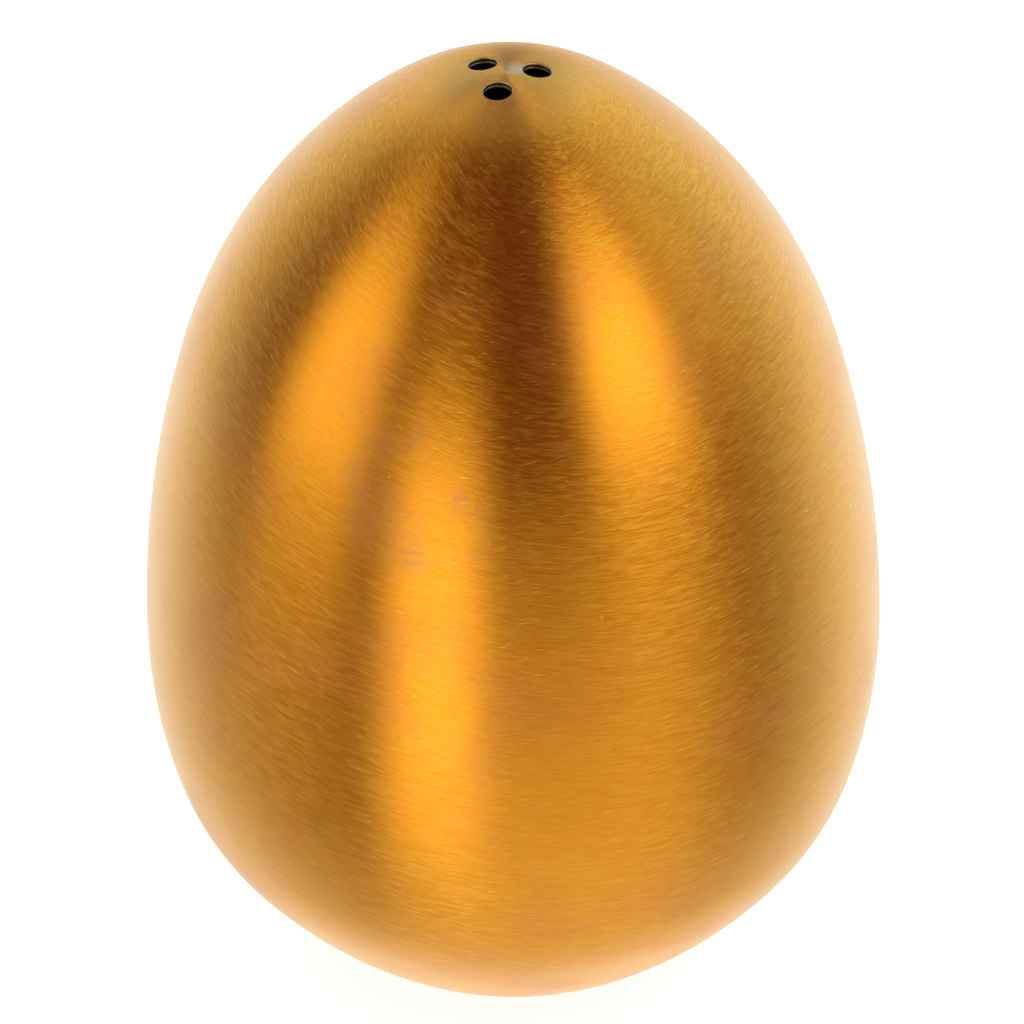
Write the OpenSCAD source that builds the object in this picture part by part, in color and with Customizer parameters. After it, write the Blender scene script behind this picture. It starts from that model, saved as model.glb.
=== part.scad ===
// Egg-shaped salt shaker in thin gold-coated steel, millimetres, +Z up.
// The origin is the centre of the flat ring that the egg stands on.
// The egg is two drawn half shells joined by a welded seam round its widest point. Three pour holes
// go through its tip. A stepped collar is welded into its foot, and a silicone stopper plugs the collar.

/* [Body] */
// Widest diameter of the egg
body_d = 52; // [51.4:0.2:53]
// Thickness of the drawn sheet
wall = 0.5; // [0.4:0.1:0.6]

/* [Egg outline] */
// Radius of the tip's arc
tip_r = 15.8; // [15.3:0.1:16.2]
// Radius of the shoulder's arc, between the tip and the side
shoulder_r = 37.3; // [36.8:0.1:37.8]
// Radius of the flank's arc, just under the widest point
flank_r = 36.7; // [35:0.1:38]
// Radius of the heel's arc, below the flank
heel_r = 17.8; // [17:0.1:18.6]
// Radius of the underside's arc, below the heel
under_r = 38.5; // [37.25:0.625:39.75]
// Outer radius of the bend between the underside and the flat foot ring
foot_bend_r = 1; // [0.8:0.1:1.2]

/* [Pour holes] */
// Number of pour holes, on one circle round the tip
hole_count = 3; // [1:1:4]
// Diameter of a pour hole
hole_d = 2; // [1.5:0.1:2.4]
// Diameter of the circle through the holes' centres
hole_circle_d = 4.4; // [4:0.1:6]

/* [Welds] */
// Height of the seam that joins the two half shells
seam_h = 0.8; // [0.6:0.1:1.2]
// How far the seam's root stands into the cavity
seam_root = 0.15; // [0.1:0.05:0.3]
// Depth of the ground groove weld between collar and foot
groove_weld_h = 0.35; // [0.3:0.05:0.4]
// How far the groove weld lies above the foot ring's face
groove_weld_lift = 0.05; // [0.02:0.01:0.1]

/* [Filler collar] */
// Inner diameter of the neck that the stopper plugs
neck_d = 14; // [13.5:0.1:14.5]
// Height of the neck's rim above the foot
neck_top = 9; // [8.5:0.1:9.5]
// Inner diameter of the recess that hides the stopper's head
recess_d = 18.4; // [18:0.1:18.4]
// Height of the seat above the foot
seat_z = 3; // [2.8:0.1:3.2]

/* [Stopper] */
// Diameter of the stopper's head
head_d = 17.8; // [17.2:0.1:17.8]
// Height of the head's face above the foot
head_z = 0.9; // [0.7:0.1:1.2]
// Diameter of the stopper's body between its ribs
plug_d = 13.2; // [13:0.1:13.3]
// Height of the stopper's inner end above the foot
plug_top = 10.2; // [9.9:0.1:10.6]
// Number of sealing ribs
rib_count = 3; // [2:1:3]
// Gap between the squeezed ribs and the neck
rib_gap = 0.03; // [0.02:0.01:0.05]
// Diameter of the finger cup in the head
cup_d = 10.6; // [10:0.1:10.8]
// Thickness of the stopper's closed end
web_h = 1.6; // [1.2:0.1:2]
// Thickness of the pull tab in the cup
tab_t = 1.8; // [1.4:0.1:2]
// Number of grip ridges on each side of the tab
ridge_count = 3; // [2:1:3]

/* [Hidden] */
$fn = 96;

GOLD = [0.83, 0.60, 0.20];
SILICONE = [0.86, 0.86, 0.83];

// The outline is a chain of arcs, each tangent to the next where both have the same normal.
// The normals at the joints come from 3-4-5, 7-24-25 and 336-527-625 triangles, which makes every
// centre a round number. The side's radius is the one that brings the tip's centre onto the axis.
TIP_NORMAL = [0.6, 0.8];
SHOULDER_NORMAL = [0.96, 0.28];
WIDEST_NORMAL = [1, 0];
FLANK_NORMAL = [0.96, -0.28];
HEEL_NORMAL = [0.8, -0.6];
UNDER_NORMAL = [0.5376, -0.8432];
body_r = body_d / 2;
side_r = (body_r - shoulder_r * SHOULDER_NORMAL.x + (shoulder_r - tip_r) * TIP_NORMAL.x)
    / (1 - SHOULDER_NORMAL.x);

// Centre of the arc that carries on from an arc of radius r about c at this normal
function next_centre(c, r, next_r, normal) = c + (r - next_r) * normal;

// Levels are whole ten-thousandths, so that the slabs and pieces on both sides of one share it exactly
function level(z) = round(z * 10000) / 10000;

// Centres, first from the widest point's height, then lifted so that the foot lies at zero
side_c0 = [body_r - side_r, 0];
shoulder_c0 = next_centre(side_c0, side_r, shoulder_r, SHOULDER_NORMAL);
tip_c0 = next_centre(shoulder_c0, shoulder_r, tip_r, TIP_NORMAL);
flank_c0 = [body_r - flank_r, 0];
heel_c0 = next_centre(flank_c0, flank_r, heel_r, FLANK_NORMAL);
under_c0 = next_centre(heel_c0, heel_r, under_r, HEEL_NORMAL);
bend_c0 = next_centre(under_c0, under_r, foot_bend_r, UNDER_NORMAL);
widest_z = foot_bend_r - bend_c0.y;
lift = [0, widest_z];

// Each arc is [centre, radius, normal at its lower end, normal at its upper end]
DOWN = [0, -1];
UP = [0, 1];
ARCS = [
    [bend_c0 + lift, foot_bend_r, DOWN, UNDER_NORMAL],
    [under_c0 + lift, under_r, UNDER_NORMAL, HEEL_NORMAL],
    [heel_c0 + lift, heel_r, HEEL_NORMAL, FLANK_NORMAL],
    [flank_c0 + lift, flank_r, FLANK_NORMAL, WIDEST_NORMAL],
    [side_c0 + lift, side_r, WIDEST_NORMAL, SHOULDER_NORMAL],
    [shoulder_c0 + lift, shoulder_r, SHOULDER_NORMAL, TIP_NORMAL],
    [tip_c0 + lift, tip_r, TIP_NORMAL, UP]
];
height = tip_c0.y + widest_z + tip_r;

seam_low = level(widest_z - seam_h / 2);
seam_high = level(widest_z + seam_h / 2);
seam_root_half = seam_h * 0.35;
seam_root_low = level(widest_z - seam_root_half);
seam_root_high = level(widest_z + seam_root_half);

collar_r = recess_d / 2 + wall;
neck_r = neck_d / 2;
groove_half = groove_weld_h * 0.8;
bend_in = wall;
bend_out = 2 * wall;

head_gap = 0.05;
head_top = seat_z - head_gap;
head_round = 0.4;
plug_r = plug_d / 2;
plug_taper = 0.7;
rib_r = neck_r - rib_gap;
rib_round = 0.45;
ribs_from = seat_z + bend_out + 0.8;
ribs_to = neck_top - 0.9;
rib_step = (ribs_to - ribs_from) / (rib_count - 1);
cup_r = cup_d / 2;
cup_top = plug_top - web_h;
tab_z = head_z + 0.2;
tab_hole_r = 1.3;
ridge_r = 0.3;
ridge_len = cup_d * 0.62;
ridges_from = tab_z + 0.8;
ridge_step = 1.1;

// How far shapes that are joined into one run into each other
overlap = 0.2;

// Half of the egg's section inside the outline, shrunk by inset along every normal
module egg_section(inset) {
    for (arc = ARCS) {
        r = arc[1] - inset;
        low = level(arc[0].y + r * arc[2].y);
        high = arc[3] == UP ? height + 1 : level(arc[0].y + r * arc[3].y);
        if (arc[0].x > foot_bend_r) translate([0, low]) square([arc[0].x, high - low]);
        intersection() {
            translate([0, low]) square([body_r, high - low]);
            translate(arc[0]) circle(r);
        }
    }
}

// The sheet's section between two heights
module sheet_section(from, to) {
    intersection() {
        difference() {
            egg_section(0);
            egg_section(wall);
        }
        translate([0, from]) square([body_r + 1, to - from]);
    }
}

// A ring with a rectangular section
module ring(r_in, r_out, from, to) {
    translate([r_in, from]) square([r_out - r_in, to - from]);
}

// A quarter of a bend in the sheet about c; quarter is [1, 1] for the part away from the axis and up
module sheet_bend(c, quarter) {
    intersection() {
        translate(c) difference() {
            circle(bend_out);
            circle(bend_in);
        }
        translate([c.x + min(quarter.x, 0) * bend_out, c.y + min(quarter.y, 0) * bend_out])
            square(bend_out);
    }
}

// A rectangle from r = 0 with its outer corners rounded by round_r
module rounded_disc(r, from, to, round_r) {
    ring(0, r - round_r, from, to);
    ring(0, r, from + round_r, to - round_r);
    for (z = [from + round_r, to - round_r])
        translate([r - round_r, z]) circle(round_r);
}

// The groove that the collar's weld fills, centred on the joint between collar and foot ring
module groove_section() {
    polygon([
        [collar_r - groove_half, groove_weld_lift],
        [collar_r + groove_half, groove_weld_lift],
        [collar_r, groove_weld_lift + groove_weld_h]
    ]);
}

// Upper half shell, with the pour holes punched straight down through its tip
module upper_shell() {
    color(GOLD) difference() {
        rotate_extrude() sheet_section(seam_high, height + 1);
        for (i = [0:hole_count - 1])
            rotate(i * 360 / hole_count - 90)
                translate([hole_circle_d / 2, 0, height - 5]) cylinder(h = 10, d = hole_d);
    }
}

// Welded seam between the half shells, flush outside and with its root standing proud inside
module girth_weld() {
    color(GOLD) rotate_extrude() {
        sheet_section(seam_low, seam_high);
        ring(body_r - wall - seam_root, body_r - wall * 0.8, seam_root_low, seam_root_high);
    }
}

// Lower half shell, with its foot ring cut open for the collar
module lower_shell() {
    color(GOLD) rotate_extrude() difference() {
        sheet_section(-1, seam_low);
        ring(0, collar_r, -1, wall + 1);
        ring(collar_r, collar_r + groove_half, -1, groove_weld_lift);
        groove_section();
    }
}

// Collar stamped from sheet: recess wall, seat for the stopper's head, and neck
module filler_collar() {
    recess_bend = [collar_r - bend_out, seat_z + wall - bend_out];
    neck_bend = [neck_r + bend_out, seat_z + bend_out];
    color(GOLD) rotate_extrude() difference() {
        union() {
            ring(collar_r - wall, collar_r, groove_weld_lift, recess_bend.y);
            sheet_bend(recess_bend, [1, 1]);
            ring(neck_bend.x, recess_bend.x, seat_z, seat_z + wall);
            sheet_bend(neck_bend, [-1, -1]);
            ring(neck_r, neck_r + wall, neck_bend.y, neck_top);
        }
        groove_section();
    }
}

// Weld between the collar and the foot ring, ground nearly flush
module collar_weld() {
    color(GOLD) rotate_extrude() groove_section();
}

// Turned outside of the stopper: head, body with sealing ribs, and tapered end
module stopper_section() {
    taper_z = plug_top - plug_taper;
    rounded_disc(head_d / 2, head_z, head_top, head_round);
    ring(0, plug_r, head_top - overlap, taper_z);
    polygon([[0, taper_z], [plug_r, taper_z], [plug_r - plug_taper, plug_top], [0, plug_top]]);
    for (i = [0:rib_count - 1])
        translate([rib_r - rib_round, ribs_from + i * rib_step]) circle(rib_round);
}

// Pull tab across the finger cup, with an eye and rounded grip ridges
module pull_tab() {
    span = 2 * (sqrt(cup_r * cup_r - tab_t * tab_t / 4) + overlap);
    difference() {
        union() {
            translate([-tab_t / 2, -span / 2, tab_z]) cube([tab_t, span, cup_top - tab_z + overlap]);
            for (side = [-1, 1], i = [0:ridge_count - 1])
                translate([side * tab_t / 2, 0, ridges_from + i * ridge_step])
                    rotate([90, 0, 0]) cylinder(h = ridge_len, r = ridge_r, center = true);
        }
        translate([0, 0, cup_top - 2]) rotate([0, 90, 0])
            cylinder(h = 2 * tab_t, r = tab_hole_r, center = true);
    }
}

// Silicone stopper moulded in one piece, open underneath for finger and thumb
module stopper() {
    color(SILICONE) union() {
        difference() {
            rotate_extrude() stopper_section();
            translate([0, 0, head_z - 1]) cylinder(h = cup_top - head_z + 1, r = cup_r);
        }
        pull_tab();
    }
}

upper_shell();
girth_weld();
lower_shell();
filler_collar();
collar_weld();
stopper();
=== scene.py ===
import math  # noqa: E402

import bmesh  # noqa: E402
import bpy  # noqa: E402
from mathutils import Matrix, Vector  # noqa: E402
from mathutils.geometry import delaunay_2d_cdt  # noqa: E402


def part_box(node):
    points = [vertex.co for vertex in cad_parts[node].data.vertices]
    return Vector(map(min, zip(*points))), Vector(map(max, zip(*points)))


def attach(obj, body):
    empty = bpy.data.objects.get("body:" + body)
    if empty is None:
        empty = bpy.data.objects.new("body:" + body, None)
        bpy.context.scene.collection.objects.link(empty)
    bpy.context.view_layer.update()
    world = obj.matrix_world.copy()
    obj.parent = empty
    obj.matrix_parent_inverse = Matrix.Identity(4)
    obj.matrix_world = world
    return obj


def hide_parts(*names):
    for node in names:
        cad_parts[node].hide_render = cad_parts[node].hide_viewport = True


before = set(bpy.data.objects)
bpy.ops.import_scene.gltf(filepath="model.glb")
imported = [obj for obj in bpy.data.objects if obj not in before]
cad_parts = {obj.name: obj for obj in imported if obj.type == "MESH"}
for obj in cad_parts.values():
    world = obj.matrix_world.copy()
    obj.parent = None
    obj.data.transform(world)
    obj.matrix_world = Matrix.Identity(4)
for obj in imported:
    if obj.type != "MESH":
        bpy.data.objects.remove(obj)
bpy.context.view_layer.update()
MM = 0.001

# The egg's outline, as in the CAD source: each arc's radius in mm, and the slope of the normal in degrees
# at its far end, outwards from the widest point
ARCS_UP = [(77.3, 16.2602), (37.3, 53.1301), (15.8, 90.0)]
ARCS_DOWN = [(36.7, -16.2602), (17.8, -36.8699), (38.5, -57.4807), (1.0, -90.0)]
WALL = 0.5
SEGMENTS = 384
WELD_SEGMENTS = 1440

# The pour holes: distance from the axis and direction, radius, radius of the rounded rims, and how far
# from the axis the pierced tip's own mesh reaches
HOLES = [(2.2, angle) for angle in (-90, 30, 150)]
HOLE_R = 1.0
RIM_R = 0.12
CAP_R = 6.0

# The camera round the egg, in degrees, its distance in mm, and how far above the widest line it aims
AZIMUTH, ELEVATION, ROLL = 15.0, 33.93, 0.82
LENS, DISTANCE = 257.9, 520.0
AIM_LIFT, AIM_SHIFT = 2.6, 4.93


def millimetres(node):
    """Lowest and highest corner of a CAD node in mm."""
    low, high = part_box(node)
    return low / MM, high / MM


SEAM_LOW, SEAM_HIGH = (corner.z for corner in millimetres("girth_weld"))
WIDEST_Z = (SEAM_LOW + SEAM_HIGH) / 2
BODY_R = millimetres("girth_weld")[1].x
TOP_Z = millimetres("upper_shell")[1].z


# ---------------------------------------------------------------- outline


def arc_chain(arcs, inset, step=1.0):
    """Points (r, z) along tangent arcs from the widest point, each moved inwards by inset."""
    points, slope = [], 0.0
    r, z = BODY_R, WIDEST_Z
    for radius, end in arcs:
        a0, a1 = math.radians(slope), math.radians(end)
        cr, cz = r - radius * math.cos(a0), z - radius * math.sin(a0)
        count = max(4, math.ceil(abs(end - slope) / step))
        for i in range(count + 1):
            a = a0 + (a1 - a0) * i / count
            points.append((cr + (radius - inset) * math.cos(a), cz + (radius - inset) * math.sin(a)))
        r, z, slope = cr + radius * math.cos(a1), cz + radius * math.sin(a1), end
    return [p for i, p in enumerate(points) if i == 0 or math.dist(p, points[i - 1]) > 1e-5]


def radius_at(points, z):
    """The outline's radius at a height, by straight steps between its points."""
    for (r0, z0), (r1, z1) in zip(points, points[1:]):
        if min(z0, z1) <= z <= max(z0, z1) and z0 != z1:
            return r0 + (r1 - r0) * (z - z0) / (z1 - z0)
    raise ValueError(f"the outline doesn't reach z = {z}")


def stretch(points, low, high):
    """The part of an outline between two heights, cut exactly there, in rising order."""
    inside = sorted((p for p in points if low + 1e-4 < p[1] < high - 1e-4), key=lambda p: p[1])
    return [(radius_at(points, low), low), *inside, (radius_at(points, high), high)]


def cap_height(radius, inset):
    """Height of the tip's surface at a distance from the axis."""
    tip_r = ARCS_UP[-1][0]
    return TOP_Z - tip_r + math.sqrt((tip_r - inset) ** 2 - radius**2)


# ---------------------------------------------------------------- mesh building


def add_ring(bm, r, z, segments=SEGMENTS, wave=None):
    """A ring of vertices; wave(angle) may add (dr, dz)."""
    ring = []
    for i in range(segments):
        a = 2 * math.pi * i / segments
        dr, dz = wave(a) if wave else (0.0, 0.0)
        ring.append(bm.verts.new(((r + dr) * math.cos(a), (r + dr) * math.sin(a), z + dz)))
    return ring


def bridge(bm, lower, upper):
    """Quads between two rings, facing away from the axis when upper lies above lower."""
    n = len(lower)
    for i in range(n):
        j = (i + 1) % n
        bm.faces.new((lower[i], lower[j], upper[j], upper[i]))


def lathe_loop(bm, loop, segments=SEGMENTS, waves=None):
    """Turns a closed section about the axis. The section runs up its outside and down its inside."""
    waves = waves or {}
    rings = [add_ring(bm, r, z, segments, waves.get(i)) for i, (r, z) in enumerate(loop)]
    for a, b in zip(rings, rings[1:] + rings[:1]):
        bridge(bm, a, b)
    return rings


def finish_mesh(bm, name, sharp=40.0, coat=None):
    """Makes an object in metres from a bmesh in mm, smooth but for its sharp edges."""
    bmesh.ops.scale(bm, vec=(MM, MM, MM), verts=bm.verts)
    bm.normal_update()
    mesh = bpy.data.meshes.new(name)
    bm.to_mesh(mesh)
    bm.free()
    mesh.shade_smooth()
    mesh.set_sharp_from_angle(angle=math.radians(sharp))
    obj = bpy.data.objects.new(name, mesh)
    bpy.context.collection.objects.link(obj)
    if coat:
        add_coat(obj, [coat(v.co / MM) for v in mesh.vertices])
    return obj


def add_coat(obj, values):
    """How much gold coating each vertex has, for the material."""
    obj.data.attributes.new("coat", "FLOAT", "POINT").data.foreach_set("value", values)


def place(obj, body, nodes, material):
    """Gives a piece its material and its body, and hides the CAD nodes that it stands for."""
    obj.data.materials.append(material)
    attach(obj, body)
    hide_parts(*nodes)
    return obj


def outside_coat(outer):
    """1 on the coated outside of a shell, falling through the sheet to 0 on its bare inside."""

    def value(p):
        r = math.hypot(p.x, p.y)
        if r < CAP_R and p.z > WIDEST_Z:
            depth = cap_height(r, 0) - p.z
        else:
            depth = min(radius_at(outer, min(max(p.z, outer[0][1]), outer[-1][1])) - r, p.z)
        return min(1.0, max(0.0, 1.0 - (depth - 0.02) / (WALL - 0.04)))

    return value


# ---------------------------------------------------------------- upper shell


def cap_layout():
    """Plan of the pierced tip: points, triangles, and each hole's boundary."""
    points = [
        (CAP_R * math.cos(2 * math.pi * i / SEGMENTS), CAP_R * math.sin(2 * math.pi * i / SEGMENTS))
        for i in range(SEGMENTS)
    ]
    edges = [(i, (i + 1) % SEGMENTS) for i in range(SEGMENTS)]
    centres = [(r * math.cos(math.radians(a)), r * math.sin(math.radians(a))) for r, a in HOLES]
    around, ring_radii = 72, (HOLE_R + RIM_R, 1.17, 1.24, 1.34, 1.5, 1.7)
    pitch, edge_gap, hole_gap, sliver = 0.22, 0.12, 1.82, 0.003
    bounds = []
    for cx, cy in centres:
        start = len(points)
        for radius in ring_radii:
            for i in range(around):
                a = 2 * math.pi * i / around
                points.append((cx + radius * math.cos(a), cy + radius * math.sin(a)))
        edges += [(start + i, start + (i + 1) % around) for i in range(around)]
        bounds.append(list(range(start, start + around)))
    row_pitch = pitch * 0.866
    rows = int(CAP_R / row_pitch) + 1
    for j in range(-rows, rows + 1):
        for i in range(-rows, rows + 1):
            x, y = pitch * (i + 0.5 * (j % 2)), row_pitch * j
            if math.hypot(x, y) < CAP_R - edge_gap and all(math.dist((x, y), c) > hole_gap for c in centres):
                points.append((x, y))
    verts, _, faces, *_ = delaunay_2d_cdt([Vector(p) for p in points], edges, [], 0, 1e-6)

    def in_sheet(face):
        middle = (sum(verts[k].x for k in face) / 3, sum(verts[k].y for k in face) / 3)
        return all(math.dist(middle, c) > HOLE_R + RIM_R - sliver for c in centres)

    kept = [face for face in faces if in_sheet(face)]
    return [tuple(v) for v in verts], kept, bounds, centres


def add_cap(bm, layout, inset, rim):
    """One side of the pierced tip on top of the ring called rim. Returns the holes' boundaries."""
    points, faces, bounds, _ = layout
    verts = list(rim)
    for x, y in points[SEGMENTS:]:
        verts.append(bm.verts.new((x, y, cap_height(math.hypot(x, y), inset))))
    for f in faces:
        order = f if inset == 0 else f[::-1]
        bm.faces.new([verts[k] for k in order])
    return [[verts[k] for k in bound] for bound in bounds]


def add_hole_wall(bm, centre, top, bottom):
    """Wall of a pour hole with rounded rims between its boundaries on the two sides of the sheet."""
    around = len(top)
    quarter = [math.radians(90 * i / 6) for i in range(1, 7)]
    levels = [(HOLE_R + RIM_R * (1 - math.sin(t)), RIM_R * (1 - math.cos(t)), 0) for t in quarter]
    levels += [(HOLE_R, share, 1) for share in (0.35, 0.5, 0.65, 0.8)]
    levels += [(HOLE_R + RIM_R * (1 - math.sin(t)), RIM_R * (1 - math.cos(t)), 2) for t in quarter[::-1]]
    previous = top
    for radius, depth, kind in levels:
        ring = []
        for i in range(around):
            a = 2 * math.pi * i / around
            x, y = centre[0] + radius * math.cos(a), centre[1] + radius * math.sin(a)
            r = math.hypot(x, y)
            high, low = cap_height(r, 0), cap_height(r, WALL)
            z = (high - depth, high + (low - high) * depth, low + depth)[kind]
            ring.append(bm.verts.new((x, y, z)))
        bridge(bm, previous, ring)
        previous = ring
    bridge(bm, previous, bottom)


def build_upper_shell(gold):
    """Upper half shell, its tip pierced by the pour holes."""
    outer = stretch(arc_chain(ARCS_UP, 0), SEAM_HIGH, cap_height(CAP_R, 0))
    inner = stretch(arc_chain(ARCS_UP, WALL), SEAM_HIGH, cap_height(CAP_R, WALL))
    bm = bmesh.new()
    out = [add_ring(bm, r, z) for r, z in outer]
    inn = [add_ring(bm, r, z) for r, z in inner]
    for a, b in zip(out, out[1:]):
        bridge(bm, a, b)
    for a, b in zip(inn, inn[1:]):
        bridge(bm, b, a)
    bridge(bm, inn[0], out[0])
    layout = cap_layout()
    tops = add_cap(bm, layout, 0, out[-1])
    bottoms = add_cap(bm, layout, WALL, inn[-1])
    for centre, top, bottom in zip(layout[3], tops, bottoms):
        add_hole_wall(bm, centre, top, bottom)
    obj = finish_mesh(bm, "upper_shell_skin", coat=outside_coat(outer))
    return place(obj, "egg", ["upper_shell"], gold)


# ---------------------------------------------------------------- girth weld and lower shell


def build_girth_weld(gold):
    """The seam, flush outside, with its rippled root standing proud inside."""
    up = stretch(arc_chain(ARCS_UP, 0), WIDEST_Z, SEAM_HIGH)
    down = stretch(arc_chain(ARCS_DOWN, 0), SEAM_LOW, WIDEST_Z)
    outer = down + up[1:]
    steps, root_half, proud, ripples = 16, 0.28, 0.15, 180
    inner, waves = [], {}
    for i in range(steps + 1):
        z = SEAM_HIGH - (SEAM_HIGH - SEAM_LOW) * i / steps
        share = max(0.0, 1 - ((z - WIDEST_Z) / root_half) ** 2)
        inner.append((radius_at(outer, z) - WALL - proud * share, z))
        if share:
            waves[len(outer) + i] = ripple(0.04 * share, 0.0, ripples, 4 * share)
    bm = bmesh.new()
    lathe_loop(bm, outer + inner, WELD_SEGMENTS, waves)
    obj = finish_mesh(bm, "girth_weld_skin", coat=outside_coat(outer))
    return place(obj, "egg", ["girth_weld"], gold)


def ripple(out, down, count, lag):
    """A weld bead's ripples: offsets round the axis, out from it and down, with a lag in radians."""

    def offsets(angle):
        swell = 0.5 + 0.5 * math.cos(count * angle + lag)
        return out * swell, -down * swell

    return offsets


def build_lower_shell(gold):
    """Lower half shell, cut open at the foot, with the bevel that its weld lies in."""
    outer = stretch(arc_chain(ARCS_DOWN, 0), 0.0, SEAM_LOW)
    inner = stretch(arc_chain(ARCS_DOWN, WALL), WALL, SEAM_LOW)
    cut_r = millimetres("filler_collar")[1].x
    weld_low, weld_high = millimetres("collar_weld")
    groove_r, edge = weld_high.x, 0.02
    bevel = [(cut_r, WALL), (cut_r, weld_high.z), (groove_r, weld_low.z)]
    bevel += [(groove_r, edge), (groove_r + edge, 0)]
    bm = bmesh.new()
    lathe_loop(bm, outer + inner[::-1] + bevel)
    obj = finish_mesh(bm, "lower_shell_skin", coat=outside_coat(outer))
    return place(obj, "egg", ["lower_shell"], gold)


# ---------------------------------------------------------------- filler collar and its weld


def arc(centre, radius, start, end, count=10):
    """Points on an arc, angles in degrees from +r towards +z."""
    angles = [math.radians(start + (end - start) * i / count) for i in range(count + 1)]
    return [(centre[0] + radius * math.cos(a), centre[1] + radius * math.sin(a)) for a in angles]


def line(start, end, count):
    """Points from start up to but not including end."""
    return [tuple(a + (b - a) * i / count for a, b in zip(start, end)) for i in range(count)]


def build_filler_collar(gold):
    """Collar stamped from sheet: recess wall, seat and neck, with softened rims."""
    recess_r, seat_z, rim = 9.2, 3.0, 0.12
    collar_low, collar_high = millimetres("filler_collar")
    out_r, neck_r = collar_high.x, 7.0
    recess_c, neck_c = (out_r - 2 * WALL, seat_z - WALL), (neck_r + 2 * WALL, seat_z + 2 * WALL)
    weld_low, weld_high = millimetres("collar_weld")
    neck_out = neck_r + WALL
    outside = [(out_r, weld_high.z), *line((out_r, weld_high.z + 0.3), (out_r, recess_c[1]), 4)]
    outside += arc(recess_c, 2 * WALL, 0, 90) + arc(neck_c, WALL, 270, 180)
    outside += line((neck_out, neck_c[1] + 0.4), (neck_out, collar_high.z - rim), 8)
    outside += arc((neck_out - rim, collar_high.z - rim), rim, 0, 90, 5)
    inside = arc((neck_r + rim, collar_high.z - rim), rim, 90, 180, 5)
    inside += line((neck_r, collar_high.z - 0.5), (neck_r, neck_c[1]), 8)
    inside += arc(neck_c, 2 * WALL, 180, 270) + arc(recess_c, WALL, 90, 0)
    inside += line((recess_r, recess_c[1] - 0.3), (recess_r, collar_low.z + rim), 6)
    inside += arc((recess_r + rim, collar_low.z + rim), rim, 180, 270, 5)
    inside.append((2 * out_r - weld_high.x, collar_low.z))
    bm = bmesh.new()
    lathe_loop(bm, outside + inside)
    obj = finish_mesh(bm, "filler_collar_skin")
    salt_side = SEGMENTS * (len(outside) - 2)
    add_coat(obj, [float(i >= salt_side) for i in range(len(obj.data.vertices))])
    return place(obj, "egg", ["filler_collar"], gold)


def build_collar_weld(weld):
    """The groove weld's bead, a little crowned, rippled, and ground back."""
    low, high = millimetres("collar_weld")
    out_r = high.x
    in_r, top_r = 2 * millimetres("filler_collar")[1].x - out_r, millimetres("filler_collar")[1].x
    steps, crown, depth, ripples, lag = 12, 0.02, 0.014, 150, 2.6
    loop, waves = [(out_r, low.z), (top_r, high.z), (in_r, low.z)], {}
    for i in range(1, steps):
        across = 2 * i / steps - 1
        share = 1 - across**2
        waves[len(loop)] = ripple(0.0, depth * share, ripples, lag * share)
        loop.append((top_r + across * (out_r - top_r), low.z - crown * share))
    bm = bmesh.new()
    lathe_loop(bm, loop, WELD_SEGMENTS, waves)
    return place(finish_mesh(bm, "collar_weld_bead"), "egg", ["collar_weld"], weld)


# ---------------------------------------------------------------- stopper


def stopper_loop():
    """Section of the stopper's turned body: up its outside from the cup's rim, and down its cup."""
    low, high = millimetres("stopper")
    head_r, body_r, rib_r, rib_round = high.x, 6.6, 6.97, 0.45
    head_z, head_top, edge = low.z, 2.95, 0.4
    cup_r, cup_top, fillet, lip = 5.3, 8.6, 0.6, 0.35
    end_r, end_round, end_chamfer, inner_r = 5.9, 0.5, 0.9, 3.0
    groove_depth, groove_half, groove_mouth = 0.03, 0.1, 0.12
    rib_levels = (4.8, 6.45, 8.1)
    loop = arc((cup_r + lip, head_z + lip), lip, 180, 270, 6)
    loop += line((cup_r + lip + 0.3, head_z), (head_r - edge, head_z), 4)
    middle = (head_z + head_top) / 2
    loop += arc((head_r - edge, head_z + edge), edge, 270, 360, 6)
    loop += [(head_r, middle - groove_mouth), (head_r - groove_depth, middle - groove_half)]
    loop += [(head_r - groove_depth, middle + groove_half), (head_r, middle + groove_mouth)]
    loop += arc((head_r - edge, head_top - edge), edge, 0, 90, 6)
    loop += arc((body_r + fillet, head_top + fillet), fillet, 270, 180, 6)
    for z in rib_levels:
        rise = math.degrees(math.acos((body_r - rib_r + rib_round) / rib_round))
        loop += arc((rib_r - rib_round, z), rib_round, -rise, rise, 8)
    loop += arc((body_r - end_round, high.z - end_chamfer), end_round, 0, 40, 5)
    loop += arc((end_r - end_round, high.z - end_round), end_round, 45, 90, 5)
    loop += [(inner_r, high.z), (0.0, high.z)]
    cup = [(0.0, cup_top), (inner_r, cup_top), *arc((cup_r - fillet, cup_top - fillet), fillet, 90, 0, 6)]
    cup += line((cup_r, cup_top - fillet - 0.5), (cup_r, head_z + lip), 8)
    return loop + cup


def turn_closed(bm, loop, segments):
    """Turns a section whose ends or middle touch the axis; points at r = 0 become one vertex each."""
    rings = []
    for r, z in loop:
        rings.append([bm.verts.new((0, 0, z))] if r == 0 else add_ring(bm, r, z, segments))
    for a, b in zip(rings, rings[1:] + rings[:1]):
        if len(a) > 1 and len(b) > 1:
            bridge(bm, a, b)
        elif len(a) > 1:
            for i in range(segments):
                bm.faces.new((a[i], a[(i + 1) % segments], b[0]))
        elif len(b) > 1:
            for i in range(segments):
                bm.faces.new((a[0], b[(i + 1) % segments], b[i]))


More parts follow.
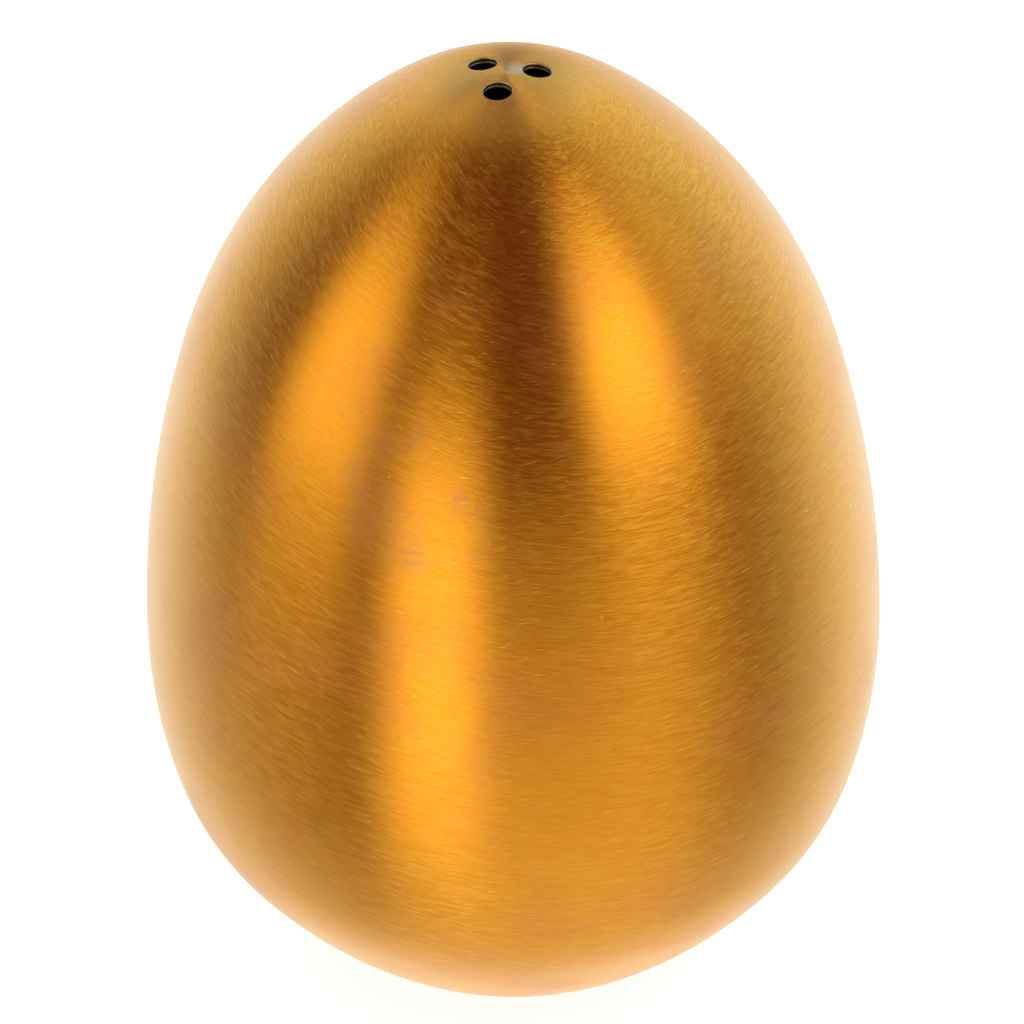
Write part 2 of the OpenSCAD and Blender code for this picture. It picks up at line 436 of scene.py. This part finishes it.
def add_tab(bm):
    """The pull tab: a plate across the cup with an eye, and grip ridges on both faces."""
    half, span, bottom, top = 0.9, 5.5, 1.1, 8.8
    corner, eye_r, eye_z = 1.6, 1.3, 6.6
    ridge_levels = (1.9, 3.0, 4.1)
    outline = [(span, top), (-span, top), *arc((-span + corner, bottom + corner), corner, 180, 270, 8)]
    outline += arc((span - corner, bottom + corner), corner, 270, 360, 8)
    eye = arc((0, eye_z), eye_r, 0, 360, 40)[:-1]
    flat = [Vector(p) for p in outline + eye]
    n, m = len(outline), len(eye)
    edges = [(i, (i + 1) % n) for i in range(n)] + [(n + i, n + (i + 1) % m) for i in range(m)]
    points, _, faces, *_ = delaunay_2d_cdt(flat, edges, [], 1, 1e-6)
    sides = [[bm.verts.new((x, p.x, p.y)) for p in points] for x in (-half, half)]
    for face in faces:
        middle = sum((points[k] for k in face), Vector((0, 0))) / len(face)
        if (middle - Vector((0, eye_z))).length > eye_r - 0.01:
            bm.faces.new([sides[0][k] for k in face][::-1])
            bm.faces.new([sides[1][k] for k in face])
    for i, j in edges:
        bm.faces.new((sides[0][i], sides[0][j], sides[1][j], sides[1][i]))
    for side in (-half, half):
        for z in ridge_levels:
            add_ridge(bm, side, z)


def add_ridge(bm, x, z):
    """A grip ridge along Y with rounded ends."""
    radius, reach, count = 0.3, 3.3, 16
    rounding = [(0.24, 0.4), (0.12, 0.8), (0, 1.0)]
    profile = [(-reach - out, share) for out, share in rounding] + [(0, 1.0)]
    profile += [(reach + out, share) for out, share in rounding[::-1]]
    turns = [2 * math.pi * i / count for i in range(count)]
    rings = []
    for y, share in profile:
        size = share * radius
        rings.append([bm.verts.new((x + size * math.cos(t), y, z + size * math.sin(t))) for t in turns])
    for a, b in zip(rings, rings[1:]):
        bridge(bm, b, a)
    bm.faces.new(rings[0])
    bm.faces.new(rings[-1][::-1])


def build_stopper(silicone):
    """Moulds body, tab and ridges into one soft-edged skin."""
    voxel, smoothing = 0.11, 3
    bm = bmesh.new()
    turn_closed(bm, stopper_loop(), 192)
    add_tab(bm)
    bmesh.ops.recalc_face_normals(bm, faces=bm.faces)
    mesh = bpy.data.meshes.new("stopper_form")
    bm.to_mesh(mesh)
    bm.free()
    form = bpy.data.objects.new("stopper_form", mesh)
    bpy.context.collection.objects.link(form)
    remesh = form.modifiers.new("skin", "REMESH")
    remesh.mode, remesh.voxel_size = "VOXEL", voxel
    smooth = form.modifiers.new("soften", "SMOOTH")
    smooth.factor, smooth.iterations = 0.5, smoothing
    bpy.context.view_layer.update()
    moulded = bmesh.new()
    moulded.from_mesh(form.evaluated_get(bpy.context.evaluated_depsgraph_get()).to_mesh())
    bpy.data.objects.remove(form)
    obj = finish_mesh(moulded, "stopper_skin", sharp=180)
    return place(obj, "plug", ["stopper"], silicone)


# ---------------------------------------------------------------- materials


class Nodes:
    """A material's or world's node tree, with short calls that make and link nodes."""

    def __init__(self, tree):
        self.tree = tree

    def add(self, kind, *inputs, **settings):
        """The outputs of a new node with these inputs in order (None leaves one as it is) and settings."""
        node = self.tree.nodes.new("ShaderNode" + kind)
        for name, value in settings.items():
            setattr(node, name, value)
        for socket, value in zip(node.inputs, inputs):
            self.feed(socket, value)
        return node.outputs

    def feed(self, socket, value):
        """Links an output into a socket, or sets the socket's value."""
        if isinstance(value, bpy.types.NodeSocket):
            self.tree.links.new(value, socket)
        elif value is not None:
            socket.default_value = value

    def math(self, operation, *inputs):
        """The output of a Math node."""
        return self.add("Math", *inputs, operation=operation)[0]

    def span(self, value, low, high, to_low=0.0, to_high=1.0):
        """value's way from low to high, eased, carried over to to_low..to_high."""
        return self.add("MapRange", value, low, high, to_low, to_high, interpolation_type="SMOOTHSTEP")[0]

    def mix(self, share, a, b):
        """Colour a where share is 0 and b where it is 1."""
        node = self.tree.nodes.new("ShaderNodeMix")
        node.data_type = "RGBA"
        self.feed(node.inputs[0], share)
        self.feed(node.inputs[6], a)
        self.feed(node.inputs[7], b)
        return node.outputs[2]

    def noise(self, vector, scale, detail=2.0):
        """Noise from 0 to 1, its features about 1 / scale across."""
        return self.add("TexNoise", vector, None, scale, detail)[0]

    def bump(self, height, depth):
        """The normal of a surface with this height map, depth metres deep."""
        node = self.tree.nodes.new("ShaderNodeBump")
        node.inputs["Strength"].default_value = 1.0
        node.inputs["Distance"].default_value = depth
        self.feed(node.inputs["Height"], height)
        return node.outputs[0]


# The belt's circles are tilted: how far they rise and fall (mm), and where they fall fastest (degrees
# from +X)
BRUSH_TILT, BRUSH_STEEPEST = 5.0, -120
# A greasy print on the side, and a pale, near-white spot beside one pour hole (mm)
PRINT_CENTRE, PRINT_R, RIDGE_PITCH = (-0.7, -20.6, 48.2), 6.5, 0.6
PALE_SPOT_CENTRE = (0.5, 0.72, 69.65)


def new_material(name):
    """A material, its node calls and its shader's inputs."""
    material = bpy.data.materials.new(name)
    material.use_nodes = True
    nodes = Nodes(material.node_tree)
    return material, nodes, material.node_tree.nodes["Principled BSDF"].inputs


def round_the_axis(nodes):
    """Places on the egg: mm coordinates, distance from the axis, about how far up the meridian, and the
    angle's cosine and sine."""
    middle_z, mean_r = 28.0, 32.0
    position = nodes.add("TexCoord")["Object"]
    in_mm = nodes.add("VectorMath", position, (1 / MM, 1 / MM, 1 / MM), operation="MULTIPLY")[0]
    x, y, z = nodes.add("SeparateXYZ", in_mm)
    squares = nodes.math("MULTIPLY_ADD", x, x, nodes.math("MULTIPLY", y, y))
    radius = nodes.math("MAXIMUM", nodes.math("SQRT", squares), 1e-3)
    rise = nodes.math("SUBTRACT", z, middle_z)
    along = nodes.math("MULTIPLY", nodes.math("ARCTAN2", rise, radius), mean_r)
    return in_mm, radius, along, nodes.math("DIVIDE", x, radius), nodes.math("DIVIDE", y, radius)


def hairlines(nodes, place_on, length, width, sway, turns, detail=2.0):
    """Noise drawn out round the axis into lines of this length and width in mm. They tilt as the belt left
    them, and sway by sway mm turns times round the egg, so that several sets cross."""
    _, _, along, cosine, sine = place_on
    angle = nodes.math("ARCTAN2", sine, cosine)
    tilt = nodes.math("SINE", nodes.math("SUBTRACT", angle, math.radians(BRUSH_STEEPEST)))
    tilted = nodes.math("MULTIPLY_ADD", tilt, BRUSH_TILT, along)
    waves = nodes.math("SINE", nodes.math("MULTIPLY", angle, float(turns)))
    swayed = nodes.math("MULTIPLY_ADD", waves, sway, tilted)
    stretch_to = BODY_R / length
    vector = nodes.add(
        "CombineXYZ",
        nodes.math("MULTIPLY", cosine, stretch_to),
        nodes.math("MULTIPLY", sine, stretch_to),
        nodes.math("MULTIPLY", swayed, 1 / width),
    )[0]
    return nodes.noise(vector, 1.0, detail)


def distance_fade(nodes, in_mm, centre, near, far):
    """1 within near mm of a point, falling to 0 at far mm."""
    away = nodes.add("VectorMath", in_mm, centre, operation="DISTANCE")["Value"]
    return nodes.span(away, far, near)


def fingerprint(nodes, in_mm):
    """The faint ridges of a finger's grease, wavering rings in a patch on the egg's side."""
    away = nodes.add("VectorMath", in_mm, PRINT_CENTRE, operation="DISTANCE")["Value"]
    waver = nodes.math("MULTIPLY", nodes.noise(in_mm, 0.3, 2.0), 9.0)
    ridges = nodes.math("SINE", nodes.math("MULTIPLY_ADD", away, 2 * math.pi / RIDGE_PITCH, waver))
    patchy = nodes.span(nodes.noise(in_mm, 0.3, 2.0), 0.4, 0.6)
    ring = nodes.math("MULTIPLY", nodes.span(away, PRINT_R, PRINT_R - 2), nodes.span(away, 1.0, 3.5))
    left_on = nodes.math("MULTIPLY", ring, patchy)
    return nodes.math("MULTIPLY", left_on, nodes.span(ridges, -0.9, 0.9, 0.45, 1.0))


def brushing(nodes, place_on):
    """The hairlines: fine ones with coarse and crossing ones among them, about 0.7 to 1.2."""
    fine = hairlines(nodes, place_on, 1.8, 0.055, 0.3, 4)
    crossing = hairlines(nodes, place_on, 1.2, 0.065, 1.8, 3)
    coarse = hairlines(nodes, place_on, 4.0, 0.16, 0.6, 5)
    return nodes.math("MULTIPLY_ADD", crossing, 0.5, nodes.math("MULTIPLY_ADD", coarse, 0.4, fine))


def specks(nodes, in_mm):
    """Small bright specks, in the few cells that have one."""
    cells = nodes.tree.nodes.new("ShaderNodeTexVoronoi")
    nodes.feed(cells.inputs["Vector"], in_mm)
    cells.inputs["Scale"].default_value = 0.42
    rare = nodes.span(nodes.add("SeparateColor", cells.outputs["Color"])[0], 0.72, 0.74)
    return nodes.math("MULTIPLY", nodes.span(cells.outputs["Distance"], 0.045, 0.025), rare)


def coating_colour(nodes, in_mm, lines, marks, smudge, grease, tip):
    """The gold coating, streaked by the brushing, paler at the tip with a painted sheen, paler where it is
    marked, and whitened in a pale spot beside one pour hole.
    """
    # painted_tip_sheen: a paler gold painted at the tip as its sheen
    clean, smudged, painted_tip_sheen = (0.97, 0.385, 0.018, 1), (0.95, 0.36, 0.045, 1), (0.94, 0.56, 0.10, 1)
    low_line, high_line = (0.66, 0.21, 0.008, 1), (1.0, 0.54, 0.09, 1)
    greasy, marked, pale_spot_tint = (0.86, 0.36, 0.13, 1), (1.0, 0.68, 0.2, 1), (0.86, 0.84, 0.76, 1)
    body = nodes.mix(tip, nodes.mix(smudge, clean, smudged), painted_tip_sheen)
    body = nodes.mix(0.4, body, nodes.mix(nodes.span(lines, 0.82, 1.1), low_line, high_line))
    body = nodes.mix(nodes.math("MULTIPLY", grease, 0.7), body, greasy)
    body = nodes.mix(marks, body, marked)
    # A near-white spot mixed in beside one pour hole
    pale_spot_share = nodes.math("MULTIPLY", distance_fade(nodes, in_mm, PALE_SPOT_CENTRE, 0.2, 1.2), 0.6)
    return nodes.mix(pale_spot_share, body, pale_spot_tint)


def through_the_sheet(nodes, in_mm, coating):
    """The coating outside, then inwards a painted highlight on the rounded rim, painted shade on the coated
    wall down the hole, and bare steel.
    """
    dull, bright = (0.5, 0.49, 0.47, 1), (0.7, 0.69, 0.66, 1)
    # A painted highlight for the hole's rounded rim, and painted shade for its coated wall
    painted_hole_shade, painted_rim_highlight = (0.1, 0.055, 0.012, 1), (1.0, 0.85, 0.6, 1)
    coat = nodes.add("Attribute", attribute_name="coat")["Fac"]
    steel = nodes.mix(nodes.noise(in_mm, 3.0), dull, bright)
    # edge lays the painted shade down the hole's wall above the steel; rim lays the painted highlight on the
    # rounded rim
    edge = nodes.mix(nodes.span(coat, 0.3, 0.38), steel, painted_hole_shade)
    rim = nodes.mix(nodes.span(coat, 0.74, 0.82), edge, painted_rim_highlight)
    return nodes.mix(nodes.span(coat, 0.97, 1.0), rim, coating)


def gold_material():
    """Steel brushed round the axis with a gold coating and a clear lacquer, bare inside."""
    material, nodes, shader = new_material("gold_brushed_steel")
    place_on = round_the_axis(nodes)
    in_mm, radius, *_ = place_on
    lines = brushing(nodes, place_on)
    scratch = nodes.span(hairlines(nodes, place_on, 1.1, 0.06, 3.0, 3, 0.0), 0.74, 0.86)
    marks = nodes.math("MAXIMUM", scratch, specks(nodes, in_mm))
    smudge = nodes.span(nodes.noise(in_mm, 0.11, 3.0), 0.5, 0.66)
    grease = fingerprint(nodes, in_mm)
    # The tip is rougher, and its paler colour in coating_colour is a painted sheen
    tip = nodes.span(radius, 7.5, 2.0)
    coating = coating_colour(nodes, in_mm, lines, marks, smudge, grease, tip)
    nodes.feed(shader["Base Color"], through_the_sheet(nodes, in_mm, coating))
    rough = nodes.span(lines, 0.90, 1.12, 0.29, 0.39)
    for layer, added in ((smudge, 0.03), (tip, 0.36), (grease, 0.06)):
        rough = nodes.math("MULTIPLY_ADD", layer, added, rough)
    nodes.feed(shader["Roughness"], rough)
    height = nodes.math("SUBTRACT", lines, nodes.math("MULTIPLY", scratch, 0.6))
    nodes.feed(shader["Normal"], nodes.bump(height, 8e-6))
    shader["Metallic"].default_value = 1.0
    shader["Anisotropic"].default_value = 0.86
    shader["Anisotropic Rotation"].default_value = 0.25
    shader["Coat Weight"].default_value = 0.25
    shader["Coat Roughness"].default_value = 0.4
    nodes.feed(shader["Tangent"], nodes.add("Tangent", direction_type="RADIAL", axis="Z")[0])
    return material


def weld_material():
    """Ground weld bead: gold coating over a rough, crossed surface, a little browner where it ran hot."""
    material, nodes, shader = new_material("gold_ground_weld")
    in_mm = nodes.add("VectorMath", nodes.add("TexCoord")["Object"], (1 / MM,) * 3, operation="MULTIPLY")[0]
    heat = nodes.noise(in_mm, 0.5)
    grit = nodes.noise(in_mm, 14.0, 4.0)
    gold = nodes.mix(nodes.span(heat, 0.35, 0.65), (0.9, 0.42, 0.05, 1), (0.62, 0.25, 0.035, 1))
    nodes.feed(shader["Base Color"], nodes.mix(nodes.span(grit, 0.3, 0.75), gold, (0.95, 0.6, 0.2, 1)))
    nodes.feed(shader["Roughness"], nodes.span(grit, 0.3, 0.7, 0.3, 0.5))
    nodes.feed(shader["Normal"], nodes.bump(grit, 1.2e-5))
    shader["Metallic"].default_value = 1.0
    return material


def silicone_material():
    """Milky silicone with a fine spark-eroded mould finish, faint flow clouds and a little dust."""
    material, nodes, shader = new_material("milky_silicone")
    in_mm = nodes.add("VectorMath", nodes.add("TexCoord")["Object"], (1 / MM,) * 3, operation="MULTIPLY")[0]
    clouds = nodes.noise(in_mm, 0.35, 3.0)
    grain = nodes.noise(in_mm, 9.0, 3.0)
    dust = nodes.span(nodes.noise(in_mm, 5.0, 1.0), 0.70, 0.76)
    milk = nodes.mix(nodes.span(clouds, 0.35, 0.65), (0.90, 0.82, 0.77, 1), (0.84, 0.765, 0.715, 1))
    nodes.feed(shader["Base Color"], nodes.mix(dust, milk, (0.5, 0.48, 0.44, 1)))
    nodes.feed(shader["Roughness"], nodes.span(grain, 0.3, 0.7, 0.42, 0.62))
    nodes.feed(shader["Normal"], nodes.bump(grain, 1.5e-5))
    shader["IOR"].default_value = 1.41
    shader["Subsurface Weight"].default_value = 0.35
    shader["Subsurface Radius"].default_value = (1.0, 0.95, 0.85)
    shader["Subsurface Scale"].default_value = 0.0012
    shader["Sheen Weight"].default_value = 0.08
    return material


# ---------------------------------------------------------------- floor, light and camera


def build_floor():
    """A pale floor that glows a little, so that shadows stay faint, and that is clear from below."""
    size, glow = 3.0, 0.9
    bm = bmesh.new()
    corners = [bm.verts.new((x * size, y * size, 0)) for x, y in ((-1, -1), (1, -1), (1, 1), (-1, 1))]
    bm.faces.new(corners)
    mesh = bpy.data.meshes.new("floor")
    bm.to_mesh(mesh)
    bm.free()
    floor = bpy.data.objects.new("floor", mesh)
    bpy.context.collection.objects.link(floor)
    material, nodes, shader = new_material("pale_floor")
    shader["Base Color"].default_value = (0.4, 0.4, 0.4, 1)
    shader["Roughness"].default_value = 0.8
    shader["Emission Color"].default_value = (1, 1, 1, 1)
    shader["Emission Strength"].default_value = glow
    below = nodes.add("NewGeometry")["Backfacing"]
    nodes.feed(shader["Alpha"], nodes.math("SUBTRACT", 1.0, below))
    mesh.materials.append(material)
    floor.visible_glossy = False
    floor.visible_diffuse = False
    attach(floor, "plug")


# Two tints of light: the lamps' own, and what the white sweep behind and under the egg throws back
LAMP = (1.0, 0.98, 0.6)
SWEEP = (0.85, 1.15, 1.3)
# The studio's soft lights: azimuth from the camera's own and elevation, half their width and height
# (all in degrees), strength and tint
SOFT_LIGHTS = {
    "window": (-70, 20, 20, 25, 1.5, LAMP),
    "strip": (-25, -10, 15, 30, 1.6, LAMP),
    "box": (50, 30, 20, 20, 2.2, LAMP),
    "wall": (85, 30, 20, 20, 0.5, LAMP),
    "table_in_front": (20, -35, 45, 30, 0.6, LAMP),
    "backdrop": (170, 20, 70, 45, 0.85, SWEEP),
    "table_behind": (180, -45, 80, 35, 0.9, SWEEP),
}
# The table straight below, with its half width in degrees, and the dim room all round
TABLE_SPREAD, TABLE_GLOW = 45, (0.75, 0.85, 0.75)
ROOM = (0.12, 0.04, 0.02)


def build_world():
    """Soft lights on a dark surround, seen only in reflections; the camera sees white."""
    world = bpy.data.worlds.new("studio")
    bpy.context.scene.world = world
    world.use_nodes = True
    nodes = Nodes(world.node_tree)
    x, y, z = nodes.add("SeparateXYZ", nodes.add("TexCoord")["Generated"])
    azimuth = nodes.math("ARCTAN2", x, nodes.math("MULTIPLY", y, -1.0))
    elevation = nodes.math("ARCSINE", z)

    def offset(value, centre, spread, power):
        ratio = nodes.math("DIVIDE", nodes.math("SUBTRACT", value, centre), math.radians(spread))
        return nodes.math("POWER", ratio, power)

    def fade(amount):
        return nodes.math("EXPONENT", nodes.math("MULTIPLY", amount, -1.0))

    def lit(total, share, colour):
        return nodes.add("VectorMath", share, colour, total, operation="MULTIPLY_ADD")[0]

    total = lit(ROOM, fade(offset(elevation, -math.pi / 2, TABLE_SPREAD, 2.0)), TABLE_GLOW)
    for az, el, az_spread, el_spread, strength, tint in SOFT_LIGHTS.values():
        turned = nodes.math("SUBTRACT", azimuth, math.radians(az + AZIMUTH))
        turn = nodes.math("WRAP", turned, math.pi, -math.pi)
        across = offset(turn, 0.0, az_spread, 4.0)
        share = fade(nodes.math("ADD", across, offset(elevation, math.radians(el), el_spread, 4.0)))
        total = lit(total, share, [strength * part for part in tint])
    seen = nodes.add("LightPath")["Is Camera Ray"]
    nodes.feed(world.node_tree.nodes["Background"].inputs["Color"], nodes.mix(seen, total, (1, 1, 1, 1)))


def build_top_light():
    """A broad soft light over the floor that doesn't show in the metal."""
    light = bpy.data.lights.new("floor_light", "AREA")
    light.shape, light.size, light.energy = "DISK", 2.4, 9.0
    lamp = bpy.data.objects.new("floor_light", light)
    bpy.context.collection.objects.link(lamp)
    lamp.location = (0, 0, 1.2)
    lamp.visible_glossy = False


def build_camera():
    """The camera, beside the egg and above it, looking down at it."""
    a, e, roll = math.radians(AZIMUTH), math.radians(ELEVATION), math.radians(ROLL)
    back = Vector((math.sin(a) * math.cos(e), -math.cos(a) * math.cos(e), math.sin(e)))
    up = back.cross(Vector((math.cos(a), math.sin(a), 0)))
    target = Vector((0, 0, WIDEST_Z + AIM_LIFT))
    spot, aim = target + DISTANCE * back, target + AIM_SHIFT * up
    data = bpy.data.cameras.new("camera")
    data.lens, data.sensor_width, data.clip_start, data.clip_end = LENS, 36.0, 0.01, 20.0
    camera = bpy.data.objects.new("camera", data)
    bpy.context.collection.objects.link(camera)
    camera.location = spot * MM
    facing = (spot - aim).to_track_quat("Z", "Y").to_matrix()
    camera.rotation_euler = (facing @ Matrix.Rotation(-roll, 3, "Z")).to_euler()
    bpy.context.scene.camera = camera


gold = gold_material()
build_upper_shell(gold)
build_girth_weld(gold)
build_lower_shell(gold)
build_filler_collar(gold)
build_collar_weld(weld_material())
build_stopper(silicone_material())
build_floor()
build_world()
build_top_light()
build_camera()
bpy.context.scene.view_settings.view_transform = "Standard"

bpy.context.view_layer.update()
